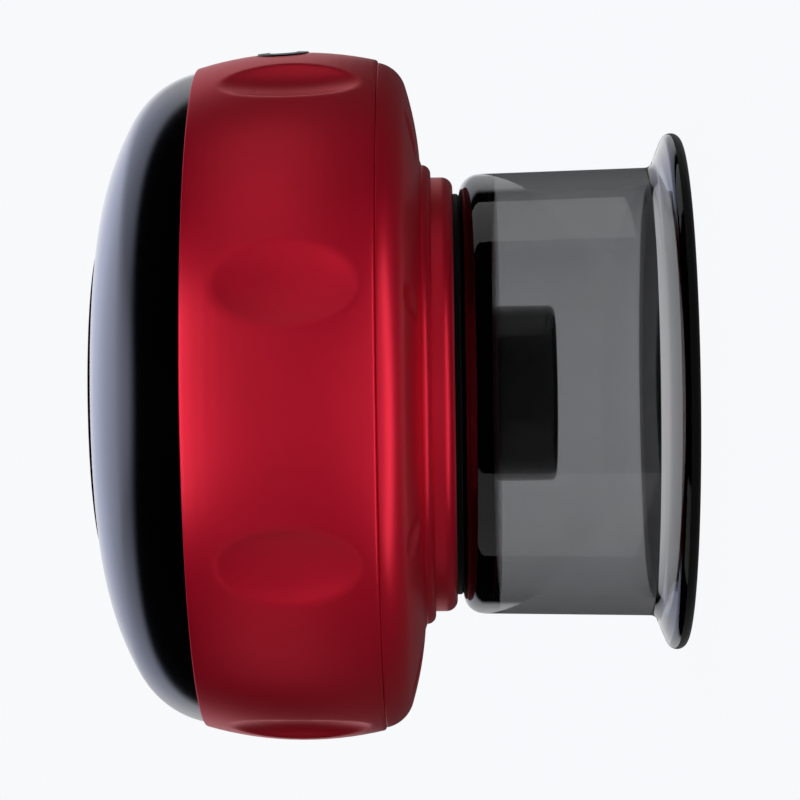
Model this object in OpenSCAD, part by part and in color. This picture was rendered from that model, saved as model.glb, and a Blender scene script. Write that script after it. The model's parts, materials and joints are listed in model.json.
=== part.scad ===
// Electric cupping massager standing on the rim of its clear cup.
// Origin: centre of the cup's rim plane. +Z runs up the axis to the dome, +X points to the charge port.

/* [Housing] */
// Radius of the barrel at its widest
barrel_r = 42.4; // [42.3:0.1:42.6]
// Height of the widest part of the barrel above the cup rim
barrel_z = 46.6; // [46.4:0.1:46.8]
// Radius of the barrel's bulge along the axis
bulge_r = 43; // [42:0.5:44]
// Height of the seam between the lower and upper shells
seam_z = 37.05; // [37:0.05:37.1]
// Height where the black dome cover starts
dome_z = 59.05; // [59:0.05:59.1]
// Wall thickness of the upper shell
wall = 2.2; // [2.1:0.1:2.3]

/* [Dome cover] */
// Height of the dome's flat crown
crown_z = 71.3; // [71.2:0.1:71.4]
// Radius of the flat part of the crown
crown_flat_r = 17.3; // [17.1:0.1:17.5]
// Radius of the arc that falls away from the crown
crown_arc_r = 34.9; // [34.5:0.1:35.3]
// Radius of the arc at the dome's shoulder
dome_corner_r = 11.4; // [11.3:0.1:11.5]
// Distance of the shoulder arc's centre from the axis
dome_corner_x = 28.9; // [28.8:0.1:29]
// Thickness of the dome
dome_wall = 2; // [1.9:0.1:2.1]

/* [Finger dimples] */
// Number of dimples round the barrel
dimple_count = 8; // [4:4:8]
// Height of the dimples' centres
dimple_z = 48; // [47.6:0.1:48.2]
// Depth of each dimple
dimple_depth = 1.5; // [1:0.1:1.6]
// Radius of the dimple's curve round the barrel
dimple_round_r = 11.4; // [11:0.1:12]
// Radius of the dimple's curve along the axis
dimple_long_r = 52; // [50:1:60]
// Length of the notch below each dimple, out along the shoulder
notch_length = 8.4; // [7:0.2:8.6]
// Width of each notch
notch_width = 3.8; // [3:0.2:4.4]
// Depth of each notch
notch_depth = 0.5; // [0.3:0.1:0.6]

/* [Cup] */
// Outer radius of the rim
rim_r = 31.9; // [31.5:0.1:32.5]
// Outer radius of the cup wall under the base corner
cup_r = 27.2; // [27.1:0.1:27.3]
// Thickness of the cup wall
cup_wall = 2; // [1.8:0.1:2.1]
// Thickness of the cup base
cup_base = 3.2; // [3.1:0.1:3.3]

/* [Nozzle] */
// Outer radius of the suction nozzle
nozzle_r = 10.85; // [10.82:0.01:10.87]
// Height of the nozzle's lower end above the cup rim
nozzle_z = 15.7; // [15:0.1:16]

/* [Pump] */
// Radius of the motor can
motor_r = 11.8; // [11.6:0.1:11.8]
// Throw of the eccentric
throw = 0.7; // [0.5:0.1:0.7]

/* [Battery] */
// Radius of the battery cell
cell_r = 9.1; // [8.9:0.1:9.1]
// Length of the battery cell
cell_len = 49.6; // [48:0.2:49.6]

/* [Controls] */
// Radius of the raised control disc
disc_r = 19.5; // [19.3:0.1:19.5]
// Height of the control disc's face
disc_top = 71.55; // [71.5:0.05:71.6]
// Travel of each key
key_travel = 0.4; // [0.2:0.1:0.4]

/* [Hidden] */
$fn = 72;

// Running clearance between a round part and its hole
fit = 0.08;
// Cup
cup_top = 27.4;
cup_corner_r = 2.6;
cup_floor = cup_top - cup_base;
// Housing floor and its seal
collar_z = 28.1;
groove_top = 29;
floor_z = 31;
seal_r = 24.8;
seal_hole_r = 17;
// Screw circles
case_screw_r = 21;
nozzle_screw_r = 13.3;
post_r = 27;
// Chassis plate
plate_z = 34.4;
plate_top = 35.4;
plate_r = 29;
// Pump axis
pump_x = -9.5;
pump_z = 48;
head_w = 24;
sleeve_r = 12.8;
terminal_x = 3.5;
// Battery axis
cell_x = 15.5;
cell_z = 45.5;
// Hoses
hose_r = 2.2;
barb_r = 1.5;
barb_z = 33.3;
hose_bend = 5;
hose_jog = 0.6;
hose_start_y = 16;
hose_lead = 4;
tee_y = hose_start_y + hose_lead + hose_bend + 2 * hose_bend * (1 - cos(45)) + hose_jog * sin(45);
tee_z = 52;
suction_x = -12;
// Release valve
valve_x = -28.6;
valve_inlet_x = -25.5;
block_z = 42;
frame_z = 46;
frame_top = 58.5;
plunger_r = 2;
seat_z = 44.4;
spring_z = 54;
spring_top = 57.3;
// Boards
board_r = 34.2;
board_z = 61.6;
board_top = 63.2;
port_z = 48.6;
// Controls: centre and radius of each key
power_key_at = [6, 0, 4.5];
level_key_at = [2.5, 10.5, 3.75];
mode_key_at = [2.5, -10.5, 3.75];
KEYS = [power_key_at, level_key_at, mode_key_at];
window_at = [-8.5, 0];
window_size = [8, 13];
key_gap = 0.15;
plate_under = 69.2;
seat_top = 70.9;

// Points on an arc about c, from angle a0 to a1
function arc(c, r, a0, a1, n = 12) =
    [for (i = [0:n]) c + r * [cos(a0 + (a1 - a0) * i / n), sin(a0 + (a1 - a0) * i / n)]];

// Outline of the dome, inset by d, from the axis down to height z0
function dome_outline(d, z0) =
    let (corner_z = crown_z - crown_arc_r
             + sqrt(pow(crown_arc_r - dome_corner_r, 2) - pow(dome_corner_x - crown_flat_r, 2)),
         tangent = 90 - asin((dome_corner_x - crown_flat_r) / (crown_arc_r - dome_corner_r)))
    concat([[0, z0], [0, crown_z - d]],
           arc([crown_flat_r, crown_z - crown_arc_r], crown_arc_r - d, 90, tangent),
           arc([dome_corner_x, corner_z], dome_corner_r - d, tangent,
               asin((z0 - corner_z) / (dome_corner_r - d)), 16));

// Solid of the barrel's outside, grown by d, between two heights
module barrel(d, z0, z1) {
    rotate_extrude($fn = 180) intersection() {
        translate([barrel_r - bulge_r, barrel_z]) circle(bulge_r + d, $fn = 180);
        translate([0, z0]) square([barrel_r + 5, z1 - z0]);
    }
}

module ring(r_out, r_in, z0, z1) {
    translate([0, 0, z0]) difference() {
        cylinder(r = r_out, h = z1 - z0);
        translate([0, 0, -1]) cylinder(r = r_in, h = z1 - z0 + 2);
    }
}

module disc(r, z0, z1) {
    translate([0, 0, z0]) cylinder(r = r, h = z1 - z0);
}

// Box from two corners
module block(a, b) {
    translate(a) cube(b - a);
}

// Puts children at n places round the axis
module around(n, start = 0) {
    for (i = [0:n - 1]) rotate([0, 0, start + i * 360 / n]) children();
}

// Screw with a socket head: head under z = 0, shank above
module screw(r, len, head_r, head_h) {
    difference() {
        union() {
            translate([0, 0, -head_h]) cylinder(r = head_r, h = head_h);
            cylinder(r = r, h = len);
        }
        translate([0, 0, -head_h - 0.1]) cylinder(r = head_r * 0.5, h = head_h * 0.6 + 0.1, $fn = 6);
    }
}

// Bar with round ends that runs along X: width w in Y, height h in Z
module slot_bar(w, h, x0, x1) {
    translate([x0, 0, 0]) rotate([0, 90, 0]) {
        translate([-h / 2, -(w - h) / 2, 0]) cube([h, w - h, x1 - x0]);
        for (s = [-1, 1]) translate([0, s * (w - h) / 2, 0]) cylinder(r = h / 2, h = x1 - x0);
    }
}

// Places children on the pump's axis, with local +Z along world +Y
module on_pump() {
    translate([pump_x, 0, pump_z]) rotate([-90, 0, 0]) children();
}

// Places children on the battery's axis, with local +Z along world +Y
module on_cell() {
    translate([cell_x, 0, cell_z]) rotate([-90, 0, 0]) children();
}

// Tube that starts up +Z and follows steps: ["line", length] or ["bend", radius, angle, roll]
module tube_run(steps, r_out, r_in, i = 0) {
    if (i < len(steps)) {
        s = steps[i];
        if (s[0] == "line") {
            ring(r_out, r_in, 0, s[1]);
            translate([0, 0, s[1]]) tube_run(steps, r_out, r_in, i + 1);
        } else {
            rotate([0, 0, s[3]]) {
                translate([-s[1], 0, 0]) rotate([90, 0, 0]) rotate_extrude(angle = s[2])
                    translate([s[1], 0]) difference() {
                        circle(r_out);
                        circle(r_in);
                    }
                translate([s[1] * (cos(s[2]) - 1), 0, s[1] * sin(s[2])]) rotate([0, -s[2], 0])
                    tube_run(steps, r_out, r_in, i + 1);
            }
        }
    }
}

// Barbed tube with a through bore, along +Z
module barb(len, bore = 0.8) {
    difference() {
        union() {
            cylinder(r = barb_r - 0.3, h = len);
            translate([0, 0, len - 1.4]) cylinder(r1 = barb_r, r2 = barb_r - 0.3, h = 1.2);
        }
        translate([0, 0, -0.1]) cylinder(r = bore, h = len + 0.2);
    }
}

module cup() {
    wall_foot = [cup_r + 0.5, 4.4];
    lip_r = 1.15;
    color([0.3, 0.31, 0.34, 0.5]) rotate_extrude() polygon(concat(
        [[nozzle_r + fit, cup_floor], [nozzle_r + fit, cup_top]],
        arc([cup_r - cup_corner_r, cup_top - cup_corner_r], cup_corner_r, 90, 0),
        arc(wall_foot + [1.2, 0], 1.2, 180, 262, 6),
        arc([rim_r - lip_r, lip_r], lip_r, 75, -90, 10),
        arc(wall_foot + [2, -0.4], 4, 270, 180, 8),
        arc([cup_r - cup_wall - 1.5, cup_floor - 1.5], 1.5, 0, 90, 6)));
}

module seal_ring() {
    color([0.03, 0.03, 0.03]) rotate_extrude() polygon(concat(
        [[seal_hole_r, cup_top], [seal_hole_r, groove_top], [seal_r, groove_top]],
        arc([seal_r - 0.25, cup_top + 0.25], 0.25, 0, -90, 4)));
}

module nozzle() {
    bore = 9;
    turret_top = 35.4;
    edge = 0.8;
    color([0.04, 0.04, 0.045]) difference() {
        union() {
            rotate_extrude() polygon(concat(
                [[0, nozzle_z]],
                arc([nozzle_r - edge, nozzle_z + edge], edge, -90, 0, 6),
                [[nozzle_r, floor_z], [15.5, floor_z], [15.5, 32.4], [10.2, 32.4], [10.2, turret_top],
                 [0, turret_top]]));
            for (a = [0, 90]) rotate([0, 0, a]) translate([0, 9.6, barb_z]) rotate([-90, 0, 0]) barb(10.2);
        }
        disc(bore, nozzle_z - 1, turret_top - 1.2);
        ring(nozzle_r + 1, nozzle_r - 0.95, 25, 26.6);
        for (a = [0, 90]) rotate([0, 0, a]) translate([0, 8, barb_z]) rotate([-90, 0, 0]) cylinder(r = 0.8, h = 13);
        around(4, 45) translate([nozzle_screw_r, 0, floor_z - 1]) cylinder(r = 1.15, h = 3);
        for (s = [-1, 1]) translate([4.4, s * 0.7, 30]) cylinder(r = 0.5, h = 10);
    }
}

module nozzle_o_ring() {
    color([0.12, 0.12, 0.12]) translate([0, 0, 25.8]) rotate_extrude() translate([10.4, 0]) circle(0.5);
}

module nozzle_lens() {
    color([0.35, 0.02, 0.03, 0.8]) difference() {
        disc(8.95, 16.3, 17.6);
        translate([0, 0, 16]) cylinder(r = 1.6, h = 2);
        around(12) translate([6.8, 0, 16]) cylinder(r = 0.7, h = 2);
    }
}

module red_lamps() {
    color([0.9, 0.15, 0.12]) around(4, 45) translate([4.6, 0, 0]) {
        block([-1.4, -1.4, 19.4], [1.4, 1.4, 20]);
        translate([0, 0, 18.2]) cylinder(r = 1.1, h = 1.2);
    }
}

module lamp_board() {
    color([0.05, 0.3, 0.12]) difference() {
        disc(8.9, 20, 21);
        translate([0, 0, 19]) cylinder(r = 2.2, h = 3);
        around(8) translate([7.3, 0, 19]) cylinder(r = 0.6, h = 3);
    }
}

module dust_filter() {
    color([0.75, 0.75, 0.72]) difference() {
        disc(8.9, 22.2, 26.2);
        for (s = [-1, 1]) translate([4.4, s * 0.7, 20]) cylinder(r = 0.5, h = 10);
    }
}

module lamp_leads() {
    color([0.7, 0.1, 0.08]) for (s = [-1, 1]) translate([4.4, s * 0.7, 21]) cylinder(r = 0.42, h = board_z - 21);
}

module lower_shell() {
    neck_r = 28.4;
    collar_r = 26.85;
    step_z = 30.8;
    bead_r = 1.1;
    corner = [36.9, 37.8];
    corner_r = 4.2;
    cone_r = 42.5;
    cone_end = -73.4;
    cone_start = -85.8;
    cone = corner + (corner_r - cone_r) * [cos(cone_end), sin(cone_end)];
    color([0.62, 0.02, 0.05]) difference() {
        rotate_extrude() polygon(concat(
            [[nozzle_r + 0.15, collar_z], [seal_hole_r - 0.1, collar_z], [seal_hole_r - 0.1, groove_top],
             [seal_r + 0.1, groove_top], [seal_r + 0.1, collar_z]],
            arc([collar_r - 0.9, collar_z + 0.9], 0.9, -90, 0, 6),
            [[collar_r, step_z]],
            arc([neck_r - bead_r, step_z + bead_r], bead_r, -90, 0, 6),
            arc(cone, cone_r, cone_start, cone_end),
            arc(corner, corner_r, cone_end, -asin((corner[1] - seam_z) / corner_r)),
            [[38.7, seam_z], [38.7, seam_z + 1.8], [37.7, seam_z + 1.8], [37.5, 36.8],
             [36.4, 35.8], [34, 35.1], [29.2, 34.1], [25.8, 32.9], [25.8, floor_z],
             [nozzle_r + 0.15, floor_z]]));
        around(dimple_count, 180 / dimple_count) notch_cutter(cone, cone_r);
        around(4, 45) {
            translate([case_screw_r, 0, groove_top - 0.5]) cylinder(r = 2.1, h = 1.5);
            translate([case_screw_r, 0, groove_top - 0.5]) cylinder(r = 1.05, h = 4);
            translate([nozzle_screw_r, 0, floor_z - 2.2]) cylinder(r = 0.95, h = 4);
        }
    }
}

// Barrel shape along Z of radius round_r at its middle, with sides of radius long_r, cut off at +-reach
module lens(round_r, long_r, reach) {
    rotate_extrude() intersection() {
        translate([round_r - long_r, 0]) circle(long_r);
        translate([0, -reach]) square([round_r + 1, 2 * reach]);
    }
}

module dimple_cutter() {
    translate([barrel_r - dimple_depth + dimple_round_r, 0, dimple_z])
        lens(dimple_round_r, dimple_long_r, dimple_long_r);
}

// Lies along the shoulder's slope, which is an arc of radius cone_r about the point cone
module notch_cutter(cone, cone_r) {
    middle_r = 35;
    slope = asin((middle_r - cone[0]) / cone_r);
    round_r = (pow(notch_width / 2, 2) + pow(notch_depth, 2)) / (2 * notch_depth);
    long_r = (pow(notch_length / 2, 2) + pow(notch_depth, 2)) / (2 * notch_depth);
    at = cone + (cone_r + round_r - notch_depth) * [sin(slope), -cos(slope)];
    translate([at[0], 0, at[1]]) rotate([0, 90 - slope, 0]) lens(round_r, long_r, notch_length / 2 + 0.4);
}

module upper_shell() {
    color([0.66, 0.02, 0.06]) difference() {
        barrel(0, seam_z, dome_z);
        barrel(-wall, seam_z - 1, dome_z + 1);
        around(dimple_count, 180 / dimple_count) dimple_cutter();
        translate([0, 0, port_z]) slot_bar(12.8, 6.2, 30, 50);
    }
}

module charge_port_bezel() {
    color([0.05, 0.05, 0.05]) intersection() {
        translate([0, 0, port_z]) difference() {
            slot_bar(12.6, 6, 39, 45);
            slot_bar(9.3, 3.5, 38, 46);
        }
        barrel(0.15, 40, 56);
    }
}

module usb_socket() {
    color([0.75, 0.75, 0.77]) translate([0, 0, port_z]) {
        difference() {
            slot_bar(8.94, 3.2, 34, 41.2);
            slot_bar(8.3, 2.6, 34.6, 42);
        }
        block([34.5, -3.3, -0.35], [40.6, 3.3, 0.35]);
    }
}

module charge_board() {
    color([0.05, 0.3, 0.12]) block([26, -8, 46], [38.6, 8, 47]);
    color([0.1, 0.1, 0.1]) {
        block([27.5, -1.8, 47], [31.5, 1.8, 48]);
        block([29, 5, 47], [31, 6.4, 47.8]);
        block([29, -6.4, 47], [31, -5, 47.8]);
    }
}

module charge_leads() {
    color([0.75, 0.1, 0.08]) for (s = [-1, 1]) translate([27.2, s * 6, 47]) cylinder(r = 0.5, h = board_z - 47);
}

module chassis() {
    color([0.16, 0.16, 0.17]) difference() {
        union() {
            disc(plate_r, plate_z, plate_top);
            around(4, 45) translate([case_screw_r, 0, 0]) disc(2.8, floor_z, plate_z + 0.5);
            block([pump_x - 9, -19, plate_z], [pump_x + 9, -11, 40]);
            for (s = [-1, 1]) translate([0, s * 15, 0]) block([8, -2, plate_z], [23, 2, 40]);
            block([26, -6, plate_z], [28.2, 6, 46]);
            for (s = [-1, 1]) translate([0, s * 5, 0]) block([-28, -1, plate_z], [-23.5, 1, block_z]);
        }
        disc(10.6, plate_z - 1, plate_top + 1);
        around(4, 45) translate([case_screw_r, 0, floor_z - 1]) cylinder(r = 1, h = 7);
        on_pump() translate([0, 0, -30]) cylinder(r = sleeve_r, h = 32);
        block([-2.8, 9, 30], [2.8, 27.2, plate_top + 1]);
        block([-27.6, -2.8, 30], [-9, 2.8, plate_top + 1]);
        on_cell() translate([0, 0, -30]) cylinder(r = cell_r + 0.05, h = 60);
    }
}

module case_screws() {
    color([0.6, 0.6, 0.62]) around(4, 45) translate([case_screw_r, 0, groove_top + 0.98]) screw(0.95, 4.2, 2, 0.9);
}

// Eight alike: four hold the nozzle and four the main board
module inner_screws() {
    color([0.6, 0.6, 0.62]) {
        around(4, 45) translate([nozzle_screw_r, 0, 32.4]) rotate([180, 0, 0]) screw(0.85, 3, 1.6, 1);
        around(4, 45) translate([post_r, 0, board_z]) screw(0.85, 3, 1.6, 1);
    }
}

module battery_cell() {
    color([0.1, 0.25, 0.5]) on_cell() {
        translate([0, 0, -cell_len / 2]) cylinder(r = cell_r, h = cell_len);
        translate([0, 0, cell_len / 2]) cylinder(r = 3, h = 0.5);
    }
}

module battery_tabs() {
    end = cell_len / 2;
    color([0.8, 0.8, 0.8]) {
        block([cell_x - 3, end + 0.5, cell_z - 2.5], [cell_x + 3, end + 0.8, cell_z + 6]);
        block([cell_x - 3, -end - 0.3, cell_z - 4], [cell_x + 3, -end, cell_z + 6]);
    }
}

module battery_strap() {
    r = cell_r + 0.05;
    y = 10;
    half = 2.5;
    gauge = 0.5;
    color([0.7, 0.7, 0.72]) difference() {
        union() {
            on_cell() translate([0, 0, y - half]) cylinder(r = r + gauge, h = 2 * half);
            block([cell_x - r - gauge, y - half, plate_top], [cell_x + r + gauge, y + half, cell_z]);
        }
        on_cell() translate([0, 0, y - half - 1]) cylinder(r = r, h = 2 * half + 2);
        block([cell_x - r, y - half - 1, plate_top - 1], [cell_x + r, y + half + 1, cell_z]);
    }
}

module battery_leads() {
    color([0.75, 0.1, 0.08]) {
        translate([cell_x, cell_len / 2 + 1.3, cell_z + 3]) cylinder(r = 0.5, h = board_z - cell_z - 3);
        translate([cell_x, -cell_len / 2 - 0.8, cell_z + 3]) cylinder(r = 0.5, h = board_z - cell_z - 3);
    }
}

module motor_can() {
    color([0.72, 0.73, 0.75]) on_pump() difference() {
        union() {
            translate([0, 0, -27]) cylinder(r = motor_r, h = 28.2);
            translate([0, 0, 1]) cylinder(r = 3.2, h = 1);
        }
        translate([0, 0, -28]) cylinder(r = motor_r - 0.8, h = 28);
        translate([0, 0, -1]) cylinder(r = 1.05, h = 5);
    }
}

module motor_end_bell() {
    color([0.9, 0.9, 0.86]) on_pump() difference() {
        union() {
            translate([0, 0, -29]) cylinder(r = motor_r, h = 2);
            translate([0, 0, -27]) cylinder(r = motor_r - 0.85, h = 1.2);
            translate([0, 0, -30]) cylinder(r = 2.2, h = 1);
            for (s = [-1, 1]) translate([s * terminal_x - 1, -0.2, -30.6]) cube([2, 0.4, 4.6]);
        }
        translate([0, 0, -29.4]) cylinder(r = 1.05, h = 5);
    }
}

module motor_magnets() {
    color([0.25, 0.25, 0.26]) on_pump() for (s = [0, 180]) rotate([0, 0, s - 65])
        translate([0, 0, -22]) rotate_extrude(angle = 130) translate([8.9, 0]) square([motor_r - 0.8 - 8.9, 17]);
}

module motor_sleeve() {
    color([0.08, 0.08, 0.08]) on_pump() ring(sleeve_r, motor_r, -20, -10);
}

module motor_leads() {
    color([0.1, 0.1, 0.1]) for (s = [-1, 1])
        translate([pump_x + s * terminal_x, -30.2, pump_z + 0.2]) cylinder(r = 0.4, h = board_z - pump_z - 0.2);
}

module rotor_shaft() {
    color([0.8, 0.8, 0.82]) on_pump() translate([0, 0, -29.2]) cylinder(r = 1, h = 36.8);
}

module armature() {
    color([0.7, 0.4, 0.2]) on_pump() difference() {
        union() {
            translate([0, 0, -19]) cylinder(r = 8.3, h = 11);
            translate([0, 0, -20.6]) cylinder(r = 6.2, h = 14.2);
        }
        translate([0, 0, -21]) cylinder(r = 1, h = 16);
        around(3) translate([5, -0.7, -21]) cube([5, 1.4, 16]);
    }
}

module commutator() {
    color([0.8, 0.5, 0.25]) on_pump() difference() {
        translate([0, 0, -25.2]) cylinder(r = 2.8, h = 4);
        translate([0, 0, -26]) cylinder(r = 1, h = 6);
        around(3) translate([2.2, -0.15, -26]) cube([2, 0.3, 6]);
    }
}

module eccentric() {
    color([0.85, 0.8, 0.55]) on_pump() {
        difference() {
            translate([0, 0, 3.4]) cylinder(r = 5, h = 4.6);
            translate([0, 0, 2]) cylinder(r = 1, h = 5.6);
        }
        translate([throw, 0, 8]) cylinder(r = 1, h = 2.6);
    }
}

module rocker() {
    reach = 6.4;
    web = 0.2;
    color([0.92, 0.92, 0.9]) on_pump() translate([throw, 0, 8.3]) difference() {
        union() {
            cylinder(r = 3, h = 2.4);
            around(3, 90) {
                translate([2, -1.5, web]) cube([reach - 2.6, 3, 1.4]);
                translate([reach, 0, 0]) cylinder(r = 2.4, h = 1.8);
            }
        }
        translate([0, 0, -1]) cylinder(r = 1 + 0.06, h = 5);
    }
}

// Square pump plate with round-cornered outline, bored for the four long screws
module pump_square(z0, z1) {
    hole = 9.6;
    corner = 2;
    half = head_w / 2;
    difference() {
        union() {
            translate([-half + corner, -half, z0]) cube([head_w - 2 * corner, head_w, z1 - z0]);
            translate([-half, -half + corner, z0]) cube([head_w, head_w - 2 * corner, z1 - z0]);
            for (x = [-1, 1], y = [-1, 1]) translate([x * (half - corner), y * (half - corner), z0])
                cylinder(r = corner, h = z1 - z0);
        }
        for (x = [-1, 1], y = [-1, 1]) translate([x * hole, y * hole, z0 - 1])
            cylinder(r = 0.9, h = z1 - z0 + 2);
    }
}

module crankcase() {
    color([0.2, 0.2, 0.22]) on_pump() difference() {
        pump_square(2, 12);
        translate([0, 0, 3]) cylinder(r = 10.4, h = 10);
        translate([0, 0, 1]) cylinder(r = 2.5, h = 4);
    }
}

module diaphragm() {
    color([0.15, 0.15, 0.15]) on_pump() {
        pump_square(12, 12.8);
        around(3, 90) translate([6.4, 0, 11.2]) cylinder(r = 3, h = 1);
    }
}

module valve_plate() {
    color([0.88, 0.88, 0.86]) on_pump() difference() {
        pump_square(12.8, 14.8);
        around(3, 90) translate([6.4, 0, 12]) cylinder(r = 0.7, h = 4);
        around(3, 30) translate([5, 0, 12]) cylinder(r = 0.7, h = 4);
    }
}

module pump_head() {
    color([0.9, 0.9, 0.88]) on_pump() difference() {
        union() {
            pump_square(14.8, 20);
            translate([0, 0, 20]) cylinder(r = 8.5, h = 1);
            translate([suction_x - pump_x, pump_z - tee_z, 20]) barb(3.8);
            translate([suction_x - pump_x, tee_z - pump_z, 20]) barb(3.8);
        }
        translate([0, 0, 14]) cylinder(r = 3, h = 4);
        ring(7.5, 4, 14, 18);
        for (s = [-1, 1]) translate([suction_x - pump_x, s * (tee_z - pump_z), 15]) cylinder(r = 0.8, h = 10);
    }
}

module pump_screws() {
    color([0.6, 0.6, 0.62]) on_pump() for (x = [-1, 1], y = [-1, 1])
        translate([x * 9.6, y * 9.6, 20]) rotate([180, 0, 0]) screw(0.8, 16, 1.7, 1);
}

module nozzle_hose() {
    color([0.85, 0.85, 0.82]) translate([0, hose_start_y, barb_z]) rotate([-90, 0, 0]) tube_run([
        ["line", hose_lead], ["bend", hose_bend, 90, 90], ["line", 1.7], ["bend", hose_bend, 45, 180],
        ["line", hose_jog], ["bend", hose_bend, 45, 180], ["line", 2]], hose_r, barb_r);
}

module valve_hose() {
    color([0.85, 0.85, 0.82]) translate([-hose_start_y, 0, barb_z]) rotate([0, -90, 0]) tube_run([
        ["line", 4.5], ["bend", hose_bend, 90, 180], ["line", 3.5]], hose_r, barb_r);
}

module hose_tee() {
    color([0.9, 0.9, 0.9]) translate([0, tee_y, tee_z]) difference() {
        union() {
            sphere(2.3);
            for (a = [0, 180]) rotate([a, 0, 0]) translate([0, 0, 1]) barb(4);
            rotate([0, -90, 0]) translate([0, 0, 1]) barb(4);
        }
        translate([0, 0, -6]) cylinder(r = 0.8, h = 12);
        rotate([0, -90, 0]) cylinder(r = 0.8, h = 6);
    }
}

module pump_hose() {
    color([0.85, 0.85, 0.82]) translate([-2.6, tee_y, tee_z]) rotate([0, -90, 0]) tube_run([
        ["line", 5.4], ["bend", 4, 90, 90], ["line", 2.4]], hose_r, barb_r);
}

module sensor_hose() {
    color([0.85, 0.85, 0.82]) translate([0, tee_y, tee_z + 2.6]) tube_run([["line", 4]], hose_r, barb_r);
}

module pressure_sensor() {
    color([0.85, 0.85, 0.85]) {
        block([-3, tee_y - 2.5, 59], [3, tee_y + 2.5, board_z]);
        translate([0, tee_y, 59]) rotate([180, 0, 0]) barb(1.8, 0.6);
    }
}

module valve_port_block() {
    color([0.88, 0.88, 0.86]) difference() {
        union() {
            block([valve_x - 5.8, -6, block_z], [valve_x + 5.8, 6, frame_z]);
            translate([valve_inlet_x, 0, block_z]) rotate([180, 0, 0]) barb(3.4);
        }
        translate([valve_x, 0, seat_z]) cylinder(r = plunger_r + 1.2, h = 4);
        translate([valve_x, 0, block_z + 1]) cylinder(r = 0.7, h = 4);
        block([valve_x, -0.7, block_z + 0.9], [valve_inlet_x, 0.7, block_z + 2.1]);
        translate([valve_inlet_x, 0, block_z - 1]) cylinder(r = 0.7, h = 3.1);
        translate([valve_x, 0, seat_z + 0.8]) rotate([90, 0, 0]) cylinder(r = 0.7, h = 10);
    }
}

module valve_frame() {
    color([0.7, 0.71, 0.72]) difference() {
        block([valve_x - 5.8, -5, frame_z], [valve_x + 5.8, 5, frame_top]);
        block([valve_x - 4.7, -6, frame_z + 1.2], [valve_x + 4.7, 6, spring_top]);
        translate([valve_x, 0, frame_z - 1]) cylinder(r = plunger_r + 0.4, h = 3);
    }
}

module valve_coil() {
    color([0.75, 0.35, 0.15]) translate([valve_x, 0, 0]) {
        ring(4.6, plunger_r + fit, frame_z + 1.2, frame_z + 2.2);
        ring(4.2, plunger_r + fit, frame_z + 2.2, spring_top - 1);
        ring(4.6, plunger_r + fit, spring_top - 1, spring_top);
    }
}

module valve_plunger() {
    color([0.8, 0.8, 0.82]) translate([valve_x, 0, 0]) disc(plunger_r, seat_z + 0.6, spring_z);
    color([0.1, 0.1, 0.1]) translate([valve_x, 0, 0]) disc(1.6, seat_z, seat_z + 0.6);
}

// Round wire of radius w wound on radius r, between two heights
module coil_spring(r, w, z0, z1, turns) {
    sides = 8;
    per_turn = 20;
    n = turns * per_turn;
    rise = z1 - z0 - 2 * w;
    points = [for (i = [0:n], k = [0:sides - 1])
        let (a = 360 * i / per_turn, b = 360 * k / sides, q = r + w * cos(b))
        [q * cos(a), q * sin(a), z0 + w + rise * i / n + w * sin(b)]];
    skin = [for (i = [0:n - 1], k = [0:sides - 1]) let (m = (k + 1) % sides)
        [i * sides + k, i * sides + m, (i + 1) * sides + m, (i + 1) * sides + k]];
    ends = [[for (k = [0:sides - 1]) sides - 1 - k], [for (k = [0:sides - 1]) n * sides + k]];
    polyhedron(points, concat(skin, ends));
}

module valve_spring() {
    color([0.8, 0.8, 0.82]) translate([valve_x, 0, 0]) coil_spring(1.5, 0.2, spring_z, spring_top, 4);
}

module main_board() {
    color([0.04, 0.28, 0.12]) difference() {
        disc(board_r, board_z, board_top);
        around(4, 45) translate([post_r, 0, board_z - 1]) cylinder(r = 1, h = 4);
        around(4) translate([board_r + 1, 0, board_z - 1]) cylinder(r = 2.5, h = 4);
    }
}

module board_chips() {
    color([0.08, 0.08, 0.08]) {
        block([10, -17, board_top], [17, -10, board_top + 1.2]);
        block([13, 6, board_top], [18, 10, board_top + 1.4]);
        block([-21, -6, board_top], [-17, -1, board_top + 1.3]);
        block([-21, 3, board_top], [-18, 6, board_top + 1]);
        translate([13, 14.5, board_top]) cylinder(r = 2.4, h = 2.6);
        translate([-12, 15.5, board_top]) cylinder(r = 1.8, h = 2.4);
        translate([12, -8, board_z - 4]) cylinder(r = 4.5, h = 4);
    }
}

module tact_switches() {
    color([0.12, 0.12, 0.12]) for (k = KEYS) translate([k[0], k[1], 0]) {
        block([-2.6, -2.6, board_top], [2.6, 2.6, 65.4]);
        disc(1.5, 65.4, 66.3);
    }
}

module display_module() {
    color([0.9, 0.9, 0.9]) translate(window_at)
        block([-window_size[0] / 2, -window_size[1] / 2, board_top],
              [window_size[0] / 2, window_size[1] / 2, 67.8]);
}

// Window opening, grown by g each way
module window_cut(g) {
    half = window_size / 2 + [g, g];
    translate([window_at[0], window_at[1], 0]) block([-half[0], -half[1], 60], [half[0], half[1], 80]);
}

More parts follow.
